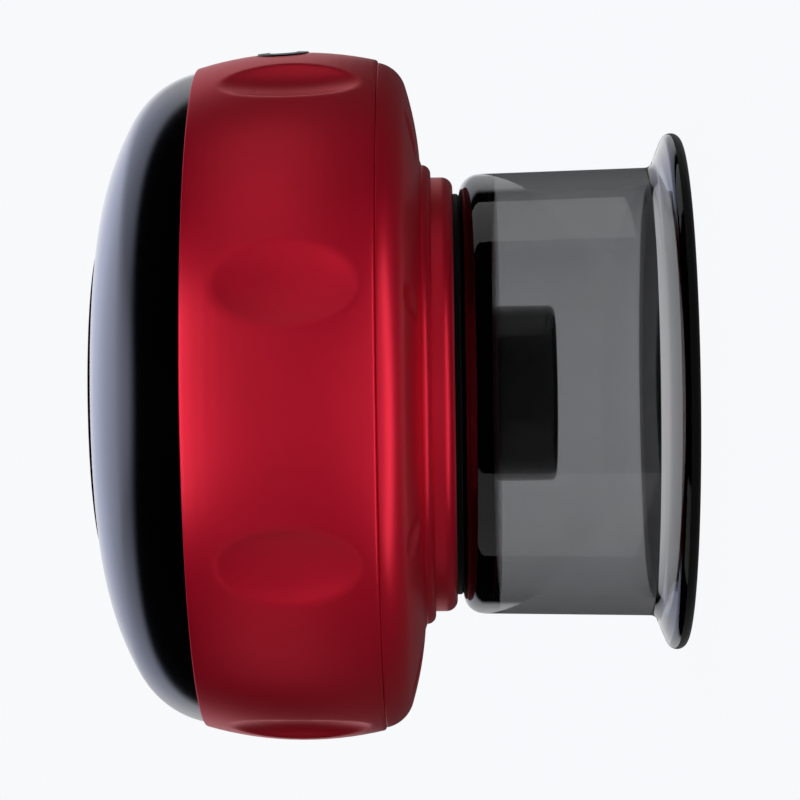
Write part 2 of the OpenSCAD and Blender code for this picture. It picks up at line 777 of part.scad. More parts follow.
module dome_cover() {
    color([0.02, 0.02, 0.03]) difference() {
        union() {
            difference() {
                rotate_extrude() polygon(dome_outline(0, dome_z));
                intersection() {
                    rotate_extrude() polygon(dome_outline(dome_wall, dome_z));
                    disc(45, dome_z - 1, plate_under);
                }
            }
            ring(37.9, 36.4, dome_z - 1.8, dome_z + 0.6);
            around(4, 45) translate([post_r, 0, 0]) disc(2.4, board_top, 68.4);
        }
        disc(disc_r + 0.15, seat_top, 80);
        around(4, 45) translate([post_r, 0, board_top - 1]) cylinder(r = 0.9, h = 4.4);
        for (k = KEYS) translate([k[0], k[1], 60]) cylinder(r = k[2] + key_gap, h = 20);
        window_cut(key_gap);
    }
}

module control_disc() {
    edge = 0.2;
    color([0.03, 0.03, 0.035]) difference() {
        rotate_extrude() polygon([[0, seat_top], [disc_r, seat_top], [disc_r, disc_top - edge],
                                  [disc_r - edge, disc_top], [0, disc_top]]);
        for (k = KEYS) translate([k[0], k[1], 60]) cylinder(r = k[2] + key_gap, h = 20);
        window_cut(key_gap);
    }
}

module display_window() {
    color([0.05, 0.01, 0.01]) translate(window_at) {
        half = window_size / 2;
        block([-half[0], -half[1], plate_under], [half[0], half[1], disc_top - 0.05]);
        block([-half[0] - 0.5, -half[1] - 0.8, plate_under - 0.5], [half[0] + 0.5, half[1] + 0.8, plate_under]);
    }
}

// Key with a retaining flange under the dome and a stem over its switch
module key(k) {
    edge = 0.2;
    color([0.1, 0.1, 0.11]) translate([k[0], k[1], 0]) {
        rotate_extrude() polygon([[0, 68], [k[2] + 0.9, 68], [k[2] + 0.9, 68.9], [k[2], 68.9],
                                  [k[2], disc_top - edge], [k[2] - edge, disc_top], [0, disc_top]]);
        disc(1.4, 66.3 + key_travel + 0.05, 68.2);
    }
}

module power_key() {
    key(power_key_at);
}

module level_key() {
    key(level_key_at);
}

module mode_key() {
    key(mode_key_at);
}

cup();
seal_ring();
nozzle();
nozzle_o_ring();
nozzle_lens();
red_lamps();
lamp_board();
dust_filter();
lamp_leads();
lower_shell();
upper_shell();
charge_port_bezel();
usb_socket();
charge_board();
charge_leads();
chassis();
case_screws();
inner_screws();
battery_cell();
battery_tabs();
battery_strap();
battery_leads();
motor_can();
motor_end_bell();
motor_magnets();
motor_sleeve();
motor_leads();
rotor_shaft();
armature();
commutator();
eccentric();
rocker();
crankcase();
diaphragm();
valve_plate();
pump_head();
pump_screws();
nozzle_hose();
pump_hose();
sensor_hose();
hose_tee();
pressure_sensor();
valve_hose();
valve_port_block();
valve_frame();
valve_coil();
valve_plunger();
valve_spring();
main_board();
board_chips();
tact_switches();
display_module();
dome_cover();
control_disc();
display_window();
power_key();
level_key();
mode_key();
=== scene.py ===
"""Looks of an electric cupping massager that stands on the rim of its smoked cup.

Origin: centre of the cup's rim plane. +Z runs up the axis to the dome, +X points to the charge port.
Outlines are lists of (distance from the axis, height) in millimetres. Meshes are in metres.
"""

import json
import math

import bmesh
import bpy
import numpy as np
from mathutils import Matrix, Vector


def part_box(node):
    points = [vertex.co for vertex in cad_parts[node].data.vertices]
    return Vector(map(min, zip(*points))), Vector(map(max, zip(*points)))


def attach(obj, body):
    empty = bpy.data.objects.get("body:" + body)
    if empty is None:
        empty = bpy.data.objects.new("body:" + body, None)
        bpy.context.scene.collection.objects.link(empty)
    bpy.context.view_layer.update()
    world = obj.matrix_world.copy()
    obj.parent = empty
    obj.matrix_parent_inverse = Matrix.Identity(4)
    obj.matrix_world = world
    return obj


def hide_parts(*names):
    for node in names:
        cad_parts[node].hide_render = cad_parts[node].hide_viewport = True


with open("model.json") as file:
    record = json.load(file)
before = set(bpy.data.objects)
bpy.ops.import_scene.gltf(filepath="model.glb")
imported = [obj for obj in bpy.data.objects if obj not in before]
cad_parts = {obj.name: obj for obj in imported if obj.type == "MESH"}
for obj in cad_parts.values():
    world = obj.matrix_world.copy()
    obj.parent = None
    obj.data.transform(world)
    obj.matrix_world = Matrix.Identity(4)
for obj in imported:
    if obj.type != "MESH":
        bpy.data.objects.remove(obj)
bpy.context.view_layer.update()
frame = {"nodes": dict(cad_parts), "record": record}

MM = 0.001
scene = bpy.context.scene
nodes = frame["nodes"]
slot_of = {part["node"]: part["material_slot"] for part in frame["record"]["subparts"]}


def span(node):
    """Lowest and highest corner of a CAD node, in millimetres."""
    low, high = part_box(node)
    return low / MM, high / MM


# Housing
SEAM_Z = span("upper_shell")[0].z
DOME_Z = span("upper_shell")[1].z
BARREL_R = span("upper_shell")[1].y
BARREL_Z = 46.6
BULGE_R = 43.0
SHELL_WALL = 2.2
PORT_Z = 48.6
PORT_SIZE = (12.8, 6.2)
PORT_ROUND = 3.09
PORT_REACH = (30, 50)

# Finger dimples on the barrel, each with a notch below it on the shoulder's slope.
# The blends round the edges of both, and NEAR_TURN bounds them round the axis, in radians.
DIMPLES = 8
DIMPLE_Z = 48.0
DIMPLE_DEPTH = 1.5
DIMPLE_ROUND_R = 11.4
DIMPLE_LONG_R = 52.0
NOTCH_LENGTH = 8.4
NOTCH_WIDTH = 3.8
NOTCH_DEPTH = 0.5
NOTCH_MIDDLE = 35.0
SHOULDER = (36.9, 37.8)
SHOULDER_R = 4.2
CONE_R = 42.5
CONE_START = -85.8
CONE_END = -73.4
CONE = (SHOULDER[0] + (SHOULDER_R - CONE_R) * math.cos(math.radians(CONE_END)),
        SHOULDER[1] + (SHOULDER_R - CONE_R) * math.sin(math.radians(CONE_END)))
DIMPLE_BLEND = 0.16
NOTCH_BLEND = 0.08
NOTCH_MARGIN = 0.4
NOTCH_REACH = 1.5
NEAR_TURN = 0.5
UNTOUCHED = -1000.0

# Dome
CROWN_Z = 71.3
CROWN_FLAT_R = 17.3
CROWN_ARC_R = 34.9
DOME_CORNER_X = 28.9
DOME_CORNER_R = 11.4
DOME_WALL = 2.0
SPIGOT_RADII = (37.9, 36.4)
SPIGOT_DROP = 1.8
DOME_CORNER_Z = CROWN_Z - CROWN_ARC_R + math.sqrt(
    (CROWN_ARC_R - DOME_CORNER_R) ** 2 - (DOME_CORNER_X - CROWN_FLAT_R) ** 2)
DOME_TANGENT = math.degrees(math.acos((DOME_CORNER_X - CROWN_FLAT_R) / (CROWN_ARC_R - DOME_CORNER_R)))

# Controls
DISC_R = span("control_disc")[1].y
DISC_TOP = span("control_disc")[1].z
SEAT_TOP = span("control_disc")[0].z
PLATE_UNDER = 69.2
KEY_GAP = 0.15
KEY_FOOT = 66.75
KEY_FLANGE = (68.0, 68.9)
KEYS = {"power_key": (6.0, 0.0, 4.5), "level_key": (2.5, 10.5, 3.75), "mode_key": (2.5, -10.5, 3.75)}
WINDOW_AT = (-8.5, 0.0)
WINDOW_SIZE = (8.0, 13.0)
WINDOW_ROUND = 0.9

# Cup and floor of the housing
CUP_TOP = span("cup")[1].z
CUP_R = 27.2
CUP_WALL = 2.0
CUP_FLOOR = CUP_TOP - 3.2
RIM_R = 31.9
LIP_R = 1.15
NOZZLE_HOLE_R = 10.93
COLLAR_Z = span("lower_shell")[0].z
GROOVE_TOP = span("seal_ring")[1].z
FLOOR_Z = 31.0
COLLAR_R = 26.85
COLLAR_ROUND = 1.4
NECK_R = 28.4
BEAD_R = 1.1
STEP_Z = 30.8
INNER_WALL = [(37.5, 36.8), (36.4, 35.8), (34, 35.1), (29.2, 34.1), (25.8, 32.9)]
SEAL_R = 24.8
SEAL_HOLE_R = 17.0


# ---- Outlines and meshes ----

# Edges that turn by more degrees than this are drawn sharp, on plates and on everything else
SHARP = 32.0
PLATE_SHARP = 12.0


def arc(centre, radius, start, end, step=5.0):
    """Points on an arc about a centre, from one angle to another in degrees."""
    count = max(2, math.ceil(abs(end - start) / step))
    angles = [math.radians(start + (end - start) * i / count) for i in range(count + 1)]
    return [(centre[0] + radius * math.cos(a), centre[1] + radius * math.sin(a)) for a in angles]


def soften(outline, steps=5):
    """Rounds each corner that is given as (x, y, radius)."""
    made = []
    for index, point in enumerate(outline):
        if len(point) == 2:
            made.append(point)
            continue
        corner = Vector(point[:2])
        before = (Vector(outline[index - 1][:2]) - corner).normalized()
        after = (Vector(outline[(index + 1) % len(outline)][:2]) - corner).normalized()
        half = before.angle(after) / 2
        centre = corner + (before + after).normalized() * point[2] / math.sin(half)
        first = corner + before * point[2] / math.tan(half) - centre
        last = corner + after * point[2] / math.tan(half) - centre
        for i in range(steps + 1):
            spoke = first.lerp(last, i / steps).normalized() * point[2]
            made.append(tuple(centre + spoke))
    return made


def refine(outline, longest):
    """Adds points so that no side of a closed outline is longer than this."""
    made = []
    for start, end in zip(outline, outline[1:] + outline[:1]):
        pieces = max(1, math.ceil(math.dist(start, end) / longest))
        for i in range(pieces):
            share = i / pieces
            made.append((start[0] + (end[0] - start[0]) * share, start[1] + (end[1] - start[1]) * share))
    return made


def mesh_from(name, points, faces):
    """A closed mesh from points in millimetres, smooth except at its sharp edges."""
    mesh = bpy.data.meshes.new(name)
    mesh.from_pydata((np.asarray(points, float) * MM).tolist(), [], faces)
    tidy(mesh)
    return mesh


def tidy(mesh, sharp=SHARP):
    """Joins doubled points, turns the faces outwards and marks the sharp edges."""
    made = bmesh.new()
    made.from_mesh(mesh)
    bmesh.ops.remove_doubles(made, verts=made.verts, dist=1e-7)
    bmesh.ops.dissolve_degenerate(made, edges=made.edges, dist=1e-8)
    bmesh.ops.recalc_face_normals(made, faces=made.faces)
    made.to_mesh(mesh)
    made.free()
    mesh.polygons.foreach_set("use_smooth", [True] * len(mesh.polygons))
    mesh.set_sharp_from_angle(angle=math.radians(sharp))


def lathe(name, outline, turns=256, shape=None):
    """Turns a closed outline round +Z. shape may then move the points, an array in millimetres."""
    angles = np.linspace(0, 2 * math.pi, turns, endpoint=False)
    points, rings = [], []
    for radius, height in outline:
        start = len(points)
        if radius < 1e-6:
            points.append((0.0, 0.0, height))
            rings.append([start] * turns)
        else:
            points.extend((radius * math.cos(a), radius * math.sin(a), height) for a in angles)
            rings.append(list(range(start, start + turns)))
    faces = []
    for low, high in zip(rings, rings[1:] + rings[:1]):
        for i in range(turns):
            j = (i + 1) % turns
            corners = dict.fromkeys([low[i], low[j], high[j], high[i]])
            if len(corners) > 2:
                faces.append(list(corners))
    points = np.array(points)
    if shape:
        points = shape(points)
    return mesh_from(name, points, faces)


def circle(centre, radius, count=96):
    """A closed ring of points in the XY plane."""
    return [(centre[0] + radius * math.cos(2 * math.pi * i / count),
             centre[1] + radius * math.sin(2 * math.pi * i / count)) for i in range(count)]


def round_box(centre, size, radius, steps=8):
    """A rectangle with round corners, in the XY plane."""
    x, y = size[0] / 2, size[1] / 2
    corners = [(x, y), (-x, y), (-x, -y), (x, -y)]
    return soften([(centre[0] + a, centre[1] + b, radius) for a, b in corners], steps)


def plate(name, outline, holes, low, high, edge):
    """A flat plate between two heights with holes through it and rounded edges."""
    curve = bpy.data.curves.new(name, "CURVE")
    curve.dimensions = "2D"
    curve.fill_mode = "BOTH"
    curve.extrude = ((high - low) / 2 - edge) * MM
    curve.bevel_depth = edge * MM
    curve.bevel_resolution = 2
    curve.offset = -edge * MM
    for ring in [outline, *holes]:
        spline = curve.splines.new("POLY")
        spline.points.add(len(ring) - 1)
        spline.use_cyclic_u = True
        for point, (x, y) in zip(spline.points, ring):
            point.co = (x * MM, y * MM, 0, 1)
    holder = bpy.data.objects.new(name, curve)
    scene.collection.objects.link(holder)
    graph = bpy.context.evaluated_depsgraph_get()
    mesh = bpy.data.meshes.new_from_object(holder.evaluated_get(graph))
    bpy.data.objects.remove(holder)
    mesh.transform(Matrix.Translation((0, 0, (low + high) / 2 * MM)))
    tidy(mesh, PLATE_SHARP)
    return mesh


def prism(outline, low, high):
    """Points and faces of a straight prism between two heights."""
    count = len(outline)
    points = [(x, y, z) for z in (low, high) for x, y in outline]
    faces = [[i, (i + 1) % count, count + (i + 1) % count, count + i] for i in range(count)]
    return points, faces + [list(range(count - 1, -1, -1)), list(range(count, 2 * count))]


def prisms(name, outlines, low, high):
    """One mesh of several separate prisms."""
    points, faces = [], []
    for outline in outlines:
        more_points, more_faces = prism(outline, low, high)
        faces += [[index + len(points) for index in face] for face in more_faces]
        points += more_points
    return mesh_from(name, points, faces)


def cut(mesh, cutter):
    """The mesh with the cutter's solid taken away."""
    holders = [bpy.data.objects.new(mesh.name, mesh), bpy.data.objects.new("cutter", cutter)]
    for holder in holders:
        scene.collection.objects.link(holder)
    modifier = holders[0].modifiers.new("cut", "BOOLEAN")
    modifier.operation = "DIFFERENCE"
    modifier.solver = "EXACT"
    modifier.object = holders[1]
    graph = bpy.context.evaluated_depsgraph_get()
    made = bpy.data.meshes.new_from_object(holders[0].evaluated_get(graph))
    for holder in holders:
        bpy.data.objects.remove(holder)
    tidy(made)
    return made


# ---- Materials ----


def add(tree, kind, inputs=(), **settings):
    """A shader node with its settings, and its inputs by name or number as values or links."""
    made = tree.nodes.new(kind)
    for key, value in settings.items():
        setattr(made, key, value)
    for socket, value in dict(inputs).items():
        if isinstance(value, bpy.types.NodeSocket):
            tree.links.new(value, made.inputs[socket])
        else:
            made.inputs[socket].default_value = value
    return made


def noise(tree, size, detail=3.0, stretch=(1, 1, 1)):
    """Noise from 0 to 1 in the piece's own coordinates, with features of this size in millimetres."""
    where = add(tree, "ShaderNodeTexCoord").outputs["Object"]
    scaled = add(tree, "ShaderNodeMapping", {"Vector": where, "Scale": stretch})
    inputs = {"Vector": scaled.outputs[0], "Scale": 1 / (size * MM), "Detail": detail}
    return add(tree, "ShaderNodeTexNoise", inputs).outputs[0]


# Where nearly all the values of a noise lie
NOISE_LOW = 0.3
NOISE_HIGH = 0.7


def between(tree, value, low, high):
    """A noise's values spread over another range."""
    inputs = {"Value": value, "From Min": NOISE_LOW, "From Max": NOISE_HIGH, "To Min": low, "To Max": high}
    return add(tree, "ShaderNodeMapRange", inputs).outputs[0]


def set_colours(mixed, first, second):
    """Sets the two colours of a colour mix."""
    for socket in mixed.inputs:
        if socket.type == "RGBA":
            socket.default_value = (*(first if socket.name == "A" else second), 1)


def colour_of(mixed):
    """The colour output of a colour mix."""
    return next(socket for socket in mixed.outputs if socket.type == "RGBA")


def surface(slot, tones, rough, grain=0.3, bump=0.0, patch=9.0, stretch=(1, 1, 1), **fixed):
    """Principled material whose colour drifts between two tones and whose roughness follows a fine grain."""
    material = bpy.data.materials.new(slot)
    material.use_nodes = True
    tree = material.node_tree
    shader = tree.nodes["Principled BSDF"]
    fine = noise(tree, grain, stretch=stretch)
    broad = noise(tree, patch, 2.0)
    mixed = add(tree, "ShaderNodeMix", data_type="RGBA")
    tree.links.new(between(tree, broad, 0.0, 1.0), mixed.inputs["Factor"])
    set_colours(mixed, *tones)
    tree.links.new(colour_of(mixed), shader.inputs["Base Color"])
    tree.links.new(between(tree, fine, *rough), shader.inputs["Roughness"])
    if bump:
        lifted = add(tree, "ShaderNodeBump", {"Height": fine, "Strength": 1.0, "Distance": bump * MM})
        tree.links.new(lifted.outputs[0], shader.inputs["Normal"])
    for socket, value in fixed.items():
        shader.inputs[socket.replace("_", " ")].default_value = value
    return material


def smoked_glass():
    """Clear moulding plastic, darkened by its own thickness."""
    material = surface("smoke_cup", ((1, 1, 1), (0.97, 0.975, 0.98)), (0.015, 0.03), grain=2.5,
                       IOR=1.5, Transmission_Weight=1.0)
    tree = material.node_tree
    tint = add(tree, "ShaderNodeVolumeAbsorption", {"Color": (0.27, 0.27, 0.28, 1), "Density": 560.0})
    tree.links.new(tint.outputs[0], tree.nodes["Material Output"].inputs["Volume"])
    return material


def red_lacquer():
    """Satin metallic red under a clear coat."""
    return surface("housing_red", ((0.66, 0.001, 0.026), (0.62, 0.001, 0.023)), (0.36, 0.44), grain=0.16,
                   bump=0.0012, Metallic=0.7, Coat_Weight=0.5, Coat_Roughness=0.36, Coat_IOR=1.4,
                   Specular_IOR_Level=0.35, Specular_Tint=(1.0, 0.35, 0.4, 1))


def paint_shade_below(material, height, colour):
    """Gives everything below a height in millimetres a near-black colour in place of the lacquer's: painted
    shade, standing in for the shade under the collar.
    """
    tree = material.node_tree
    shader = tree.nodes["Principled BSDF"]
    where = add(tree, "ShaderNodeTexCoord").outputs["Object"]
    parts = add(tree, "ShaderNodeSeparateXYZ", {0: where})
    below = add(tree, "ShaderNodeMath", {0: parts.outputs["Z"], 1: height * MM}, operation="LESS_THAN")
    painted = shader.inputs["Base Color"].links[0].from_socket
    mixed = add(tree, "ShaderNodeMix", data_type="RGBA")
    set_colours(mixed, colour, colour)
    tree.links.new(below.outputs[0], mixed.inputs["Factor"])
    tree.links.new(painted, next(socket for socket in mixed.inputs if socket.type == "RGBA"))
    tree.links.new(colour_of(mixed), shader.inputs["Base Color"])
    return material


def weave(material, size, depth):
    """Adds open foam cells to a material."""
    tree = material.node_tree
    where = add(tree, "ShaderNodeTexCoord").outputs["Object"]
    cells = add(tree, "ShaderNodeTexVoronoi", {"Vector": where, "Scale": 1 / (size * MM)})
    lifted = add(tree, "ShaderNodeBump", {"Height": cells.outputs["Distance"], "Distance": depth * MM})
    tree.links.new(lifted.outputs[0], tree.nodes["Principled BSDF"].inputs["Normal"])
    return material


def traces(material):
    """Adds fine copper tracks under the lacquer of a circuit board."""
    tree = material.node_tree
    shader = tree.nodes["Principled BSDF"]
    where = add(tree, "ShaderNodeTexCoord").outputs["Object"]
    inputs = {"Vector": where, "Scale": 900.0, "Mortar Size": 0.06, "Mortar": (0.05, 0.24, 0.09, 1),
              "Color1": (0.02, 0.16, 0.06, 1), "Color2": (0.02, 0.13, 0.05, 1)}
    tracks = add(tree, "ShaderNodeTexBrick", inputs)
    tree.links.new(tracks.outputs["Color"], shader.inputs["Base Color"])
    return material


# Painted shade: a near-black colour on the collar's underside, where shade falls between the collar, the gasket
# and the cup
PAINTED_SHADE_COLOUR = (0.012, 0.012, 0.012)
PAINTED_SHADE_MARGIN = 0.05


def make_materials():
    """One material for each slot of the record, in place of the model's plain ones."""
    for plain in list(bpy.data.materials):
        bpy.data.materials.remove(plain)
    metal = {"Metallic": 1.0}
    made = [
        smoked_glass(),
        # The lacquer carries painted shade below the collar's underside
        paint_shade_below(red_lacquer(), COLLAR_Z + PAINTED_SHADE_MARGIN, PAINTED_SHADE_COLOUR),
        surface("dome_black", ((0.003, 0.0033, 0.004), (0.0034, 0.0037, 0.0045)), (0.13, 0.17), grain=0.8,
                Coat_Weight=0.3, Coat_Roughness=0.08),
        surface("disc_black", ((0.004, 0.0045, 0.005), (0.005, 0.0055, 0.006)), (0.10, 0.14), grain=0.8),
        surface("key_black", ((0.012, 0.012, 0.013), (0.015, 0.015, 0.016)), (0.34, 0.42), grain=0.25,
                bump=0.002),
        surface("window_smoke", ((0.30, 0.16, 0.16), (0.27, 0.14, 0.14)), (0.04, 0.07), grain=1.5,
                Transmission_Weight=0.85, IOR=1.45),
        surface("trim_black", ((0.012, 0.012, 0.012), (0.016, 0.016, 0.016)), (0.38, 0.46), grain=0.2,
                bump=0.002),
        surface("nozzle_black", ((0.004, 0.004, 0.0045), (0.005, 0.005, 0.0055)), (0.14, 0.20), grain=0.5,
                bump=0.0005),
        surface("lens_red", ((0.20, 0.004, 0.008), (0.16, 0.003, 0.006)), (0.10, 0.16), grain=1.0,
                Transmission_Weight=0.35),
        surface("lamp_red", ((0.75, 0.05, 0.04), (0.65, 0.04, 0.03)), (0.12, 0.2), grain=0.5),
        surface("seal_rubber", ((0.006, 0.006, 0.0065), (0.009, 0.009, 0.0095)), (0.55, 0.7), grain=0.2,
                bump=0.006),
        weave(surface("filter_foam", ((0.55, 0.55, 0.52), (0.45, 0.45, 0.42)), (0.8, 0.95), grain=0.4),
              0.45, 0.12),
        traces(surface("circuit_board", ((0.02, 0.16, 0.06), (0.02, 0.13, 0.05)), (0.3, 0.4), grain=0.4,
                       Coat_Weight=0.4, Coat_Roughness=0.2)),
        surface("chip_black", ((0.02, 0.02, 0.021), (0.028, 0.028, 0.029)), (0.45, 0.6), grain=0.15, bump=0.002),
        surface("display_white", ((0.72, 0.72, 0.70), (0.78, 0.78, 0.76)), (0.35, 0.45), grain=0.3,
                bump=0.001),
        surface("lead_insulation", ((0.50, 0.02, 0.018), (0.42, 0.015, 0.014)), (0.38, 0.5), grain=0.3,
                bump=0.002),
        surface("chassis_black", ((0.022, 0.022, 0.024), (0.03, 0.03, 0.032)), (0.42, 0.55), grain=0.35,
                bump=0.004),
        surface("plastic_white", ((0.74, 0.73, 0.69), (0.80, 0.79, 0.75)), (0.35, 0.45), grain=0.35,
                bump=0.002),
        surface("hose_silicone", ((0.62, 0.62, 0.60), (0.70, 0.70, 0.68)), (0.35, 0.45), grain=0.6, bump=0.002,
                Subsurface_Weight=0.2, Subsurface_Scale=0.002),
        surface("cell_wrap", ((0.02, 0.10, 0.35), (0.025, 0.12, 0.40)), (0.2, 0.28), grain=0.9, bump=0.003),
        surface("plated_steel", ((0.62, 0.63, 0.65), (0.52, 0.53, 0.56)), (0.24, 0.36), grain=0.3, bump=0.001,
                stretch=(1, 6, 1), **metal),
        surface("screw_steel", ((0.50, 0.50, 0.52), (0.42, 0.42, 0.44)), (0.28, 0.4), grain=0.25, bump=0.001,
                **metal),
        surface("magnet_grey", ((0.10, 0.10, 0.105), (0.14, 0.14, 0.145)), (0.5, 0.65), grain=0.25,
                bump=0.004),
        surface("winding_copper", ((0.70, 0.28, 0.12), (0.58, 0.20, 0.08)), (0.25, 0.38), grain=0.25, bump=0.02,
                stretch=(1, 1, 8), **metal),
    ]
    return {material.name: material for material in made}


materials = make_materials()


def piece(name, mesh, body, slot, *replaced):
    """Puts a new mesh on a CAD body, with a material slot, in place of CAD nodes."""
    made = bpy.data.objects.new(name, mesh)
    scene.collection.objects.link(made)
    mesh.materials.clear()
    mesh.materials.append(materials[slot])
    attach(made, body)
    if replaced:
        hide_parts(*replaced)
    return made


# ---- Cup ----


def cup_outline():
    """The cup's wall, from its hole round the base corner, down to the flared rim and back inside."""
    foot = (CUP_R + 0.5, 4.4)
    return soften(
        [(NOZZLE_HOLE_R, CUP_FLOOR, 0.2), (NOZZLE_HOLE_R, CUP_TOP, 0.2)]
        + arc((CUP_R - 2.6, CUP_TOP - 2.6), 2.6, 90, 0)
        + arc((foot[0] + 1.2, foot[1]), 1.2, 180, 262)
        + arc((RIM_R - LIP_R, LIP_R), LIP_R, 75, -90)
        + arc((foot[0] + CUP_WALL, foot[1] - 0.4), 4, 270, 180)
        + arc((CUP_R - CUP_WALL - 1.5, CUP_FLOOR - 1.5), 1.5, 0, 90))


def seal_outline():
    """The flat rubber ring between the cup and the housing."""
    return soften([(SEAL_HOLE_R, CUP_TOP, 0.2), (SEAL_HOLE_R, GROOVE_TOP, 0.1),
                   (SEAL_R, GROOVE_TOP, 0.1), (SEAL_R, CUP_TOP, 0.3)])


# ---- Housing shells ----


def dimple_angles():
    """The dimples' directions round the axis, in radians."""
    return [2 * math.pi * (i + 0.5) / DIMPLES for i in range(DIMPLES)]


def smooth_min(a, b, width):
    """The smaller of two arrays, rounded where they cross."""
    share = np.clip(0.5 + 0.5 * (b - a) / width, 0, 1)
    return b * (1 - share) + a * share - width * share * (1 - share)


def press_dimples(points):
    """Pushes the finger dimples into the barrel."""
    radius = np.hypot(points[:, 0], points[:, 1])
    angle = np.arctan2(points[:, 1], points[:, 0])
    reach = BARREL_R - DIMPLE_DEPTH + DIMPLE_ROUND_R
    along = np.clip(np.abs(points[:, 2] - DIMPLE_Z), 0, DIMPLE_LONG_R)
    cutter = DIMPLE_ROUND_R - DIMPLE_LONG_R + np.sqrt(DIMPLE_LONG_R ** 2 - along ** 2)
    pressed = radius.copy()
    for centre in dimple_angles():
        turn = np.angle(np.exp(1j * (angle - centre)))
        inside = cutter ** 2 - (reach * np.sin(turn)) ** 2
        near = (inside > 0) & (cutter > 0) & (np.abs(turn) < NEAR_TURN)
        cut_at = reach * np.cos(turn[near]) - np.sqrt(inside[near])
        pressed[near] = smooth_min(pressed[near], cut_at, DIMPLE_BLEND)
    scale = pressed / radius
    return points * np.stack([scale, scale, np.ones_like(scale)], axis=1)


def lens_radii(length, width, depth):
    """Radii along and across a lens that cuts a notch of this size into a flat face."""
    return [((size / 2) ** 2 + depth ** 2) / (2 * depth) for size in (length, width)]


def press_notches(points):
    """Pushes a lens-shaped notch into the shoulder's slope below each dimple."""
    long_r, round_r = lens_radii(NOTCH_LENGTH, NOTCH_WIDTH, NOTCH_DEPTH)
    slope = math.asin((NOTCH_MIDDLE - CONE[0]) / CONE_R)
    out = np.array([math.cos(slope), math.sin(slope)])
    up = np.array([-math.sin(slope), math.cos(slope)])
    middle = np.array(CONE) - CONE_R * up
    angle = np.arctan2(points[:, 1], points[:, 0])
    radius = np.hypot(points[:, 0], points[:, 1])
    made = points.copy()
    for centre in dimple_angles():
        turn = np.angle(np.exp(1j * (angle - centre)))
        flat = np.stack([radius * np.cos(turn), made[:, 2]], axis=1) - middle
        along, above = flat @ out, flat @ up
        side = radius * np.sin(turn)
        lens = round_r - long_r + np.sqrt(np.clip(long_r ** 2 - along ** 2, 0, None))
        inside = lens ** 2 - side ** 2
        near = (inside > 0) & (np.abs(along) < NOTCH_LENGTH / 2 + NOTCH_MARGIN)
        near &= (np.abs(turn) < NEAR_TURN) & (above < NOTCH_REACH)
        cut_at = np.where(near, NOTCH_DEPTH - round_r + np.sqrt(np.clip(inside, 0, None)), UNTOUCHED)
        lift = np.where(near, -smooth_min(-above, -cut_at, NOTCH_BLEND) - above, 0)
        lift = np.clip(lift, 0, None)
        made[:, 0] += lift * up[0] * math.cos(centre)
        made[:, 1] += lift * up[0] * math.sin(centre)
        made[:, 2] += lift * up[1]
    return made


def barrel_arc(inset, low, high):
    """The barrel's bulging side, set in by some millimetres, between two heights."""
    radius = BULGE_R - inset
    ends = [math.degrees(math.asin((z - BARREL_Z) / radius)) for z in (low, high)]
    return arc((BARREL_R - BULGE_R, BARREL_Z), radius, *ends, 2.0)


def upper_shell():
    """The barrel with its dimples and the opening for the charge port."""
    outer = barrel_arc(0, SEAM_Z, DOME_Z)
    inner = barrel_arc(SHELL_WALL, SEAM_Z, DOME_Z)[::-1]
    outline = soften([(*outer[0], 0.4)] + outer[1:-1] + [(*outer[-1], 0.22)] + inner)
    mesh = lathe("upper_shell_skin", refine(outline, 0.45), 560, press_dimples)
    points, faces = prism(round_box((0, 0), PORT_SIZE, PORT_ROUND), *PORT_REACH)
    turned = [(z, x, y + PORT_Z) for x, y, z in points]
    return cut(mesh, mesh_from("cutter", turned, faces))


def lower_shell():
    """The collar, the neck's bead and the notched shoulder, with the floor inside them."""
    end = -math.degrees(math.asin((SHOULDER[1] - SEAM_Z) / SHOULDER_R))
    shoulder = arc(SHOULDER, SHOULDER_R, CONE_END, end, 4.0)
    outline = soften(
        [(NOZZLE_HOLE_R + 0.07, COLLAR_Z), (SEAL_HOLE_R - 0.1, COLLAR_Z), (SEAL_HOLE_R - 0.1, GROOVE_TOP),
         (SEAL_R + 0.1, GROOVE_TOP), (SEAL_R + 0.1, COLLAR_Z, 0.1)]
        + arc((COLLAR_R - COLLAR_ROUND, COLLAR_Z + COLLAR_ROUND), COLLAR_ROUND, -90, 0)
        + [(COLLAR_R, STEP_Z)]
        + arc((NECK_R - BEAD_R, STEP_Z + BEAD_R), BEAD_R, -90, 0)
        + arc(CONE, CONE_R, CONE_START, CONE_END, 0.5)[:-1]
        + shoulder[:-1] + [(*shoulder[-1], 0.14)]
        + [(38.7, SEAM_Z), (38.7, SEAM_Z + 1.8), (37.7, SEAM_Z + 1.8)] + INNER_WALL
        + [(25.8, FLOOR_Z), (NOZZLE_HOLE_R + 0.07, FLOOR_Z)])
    return lathe("lower_shell_skin", refine(outline, 0.5), 456, press_notches)


# ---- Dome and controls ----


